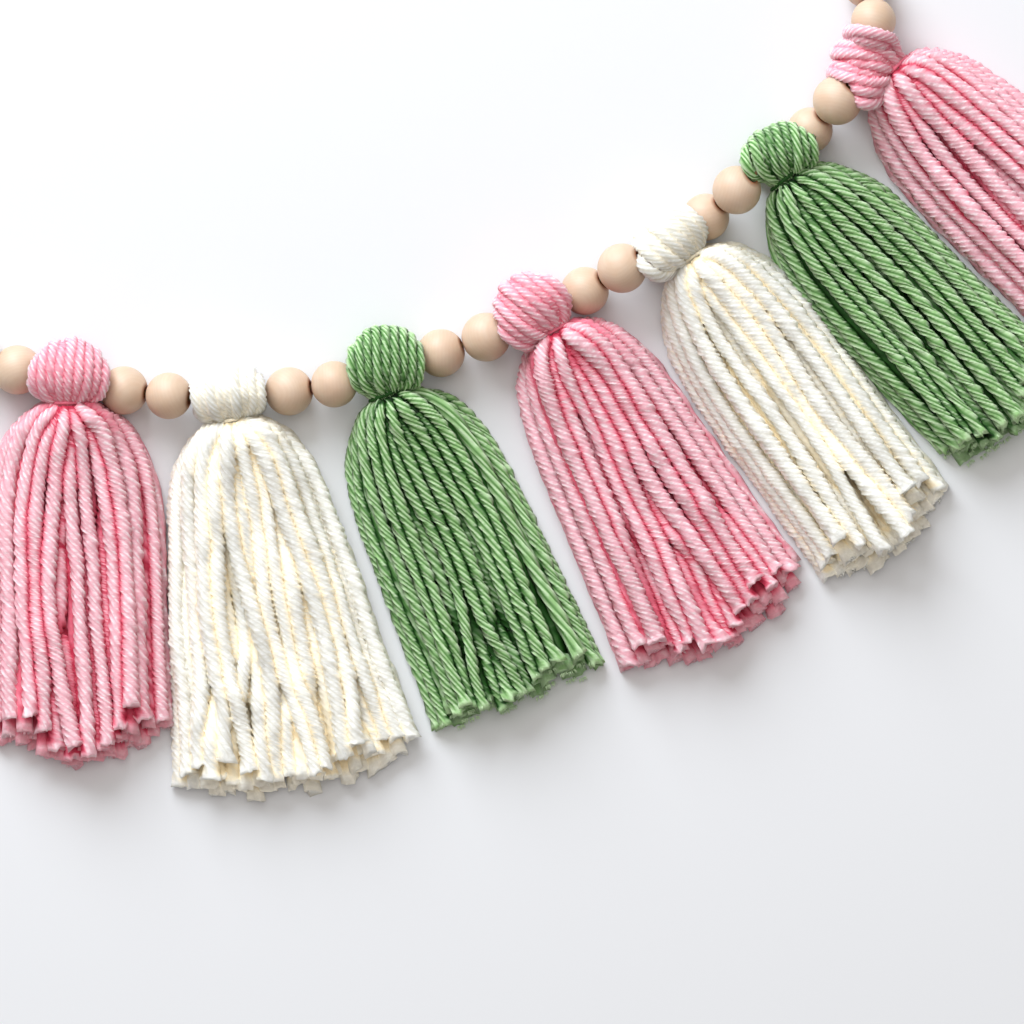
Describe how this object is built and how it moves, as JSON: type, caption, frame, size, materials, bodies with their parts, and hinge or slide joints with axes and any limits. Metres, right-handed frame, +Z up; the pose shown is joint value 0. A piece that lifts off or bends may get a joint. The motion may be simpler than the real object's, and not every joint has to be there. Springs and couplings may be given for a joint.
{
  "type": "wooden bead tassel garland",
  "caption": "Yarn tassels and round wooden beads strung on a knotted string, lying flat on a surface in a shallow curve with the tassel skirts fanned out below.",
  "frame": {"origin": "on the surface it lies on, under the middle of its outline", "axes": "+X along the garland from its first bead to its last tassel, -Y the way the skirts point, +Z up from the surface"},
  "size_m": [0.4178, 0.2864, 0.0237],
  "materials": {
    "cotton_string": "twisted cotton, matte",
    "bare_wood": "turned and sanded, unvarnished",
    "pink_yarn": "soft plied acrylic yarn",
    "cream_yarn": "soft plied acrylic yarn",
    "green_yarn": "soft plied acrylic yarn"
  },
  "bodies": {
    "root": {"string": "cotton_string", "bead_01": "bare_wood", "bead_02": "bare_wood", "bead_03": "bare_wood", "bead_04": "bare_wood", "bead_05": "bare_wood", "bead_06": "bare_wood", "bead_07": "bare_wood", "bead_08": "bare_wood", "bead_09": "bare_wood", "bead_10": "bare_wood", "bead_11": "bare_wood", "bead_12": "bare_wood", "bead_13": "bare_wood", "bead_14": "bare_wood", "bead_15": "bare_wood", "bead_16": "bare_wood", "tassel_1": "pink_yarn", "tassel_2": "cream_yarn", "tassel_3": "green_yarn", "tassel_4": "pink_yarn", "tassel_5": "cream_yarn", "tassel_6": "green_yarn", "tassel_7": "pink_yarn", "tie_1": "pink_yarn", "tie_2": "cream_yarn", "tie_3": "green_yarn", "tie_4": "pink_yarn", "tie_5": "cream_yarn", "tie_6": "green_yarn", "tie_7": "pink_yarn"}
  },
  "joints": []
}
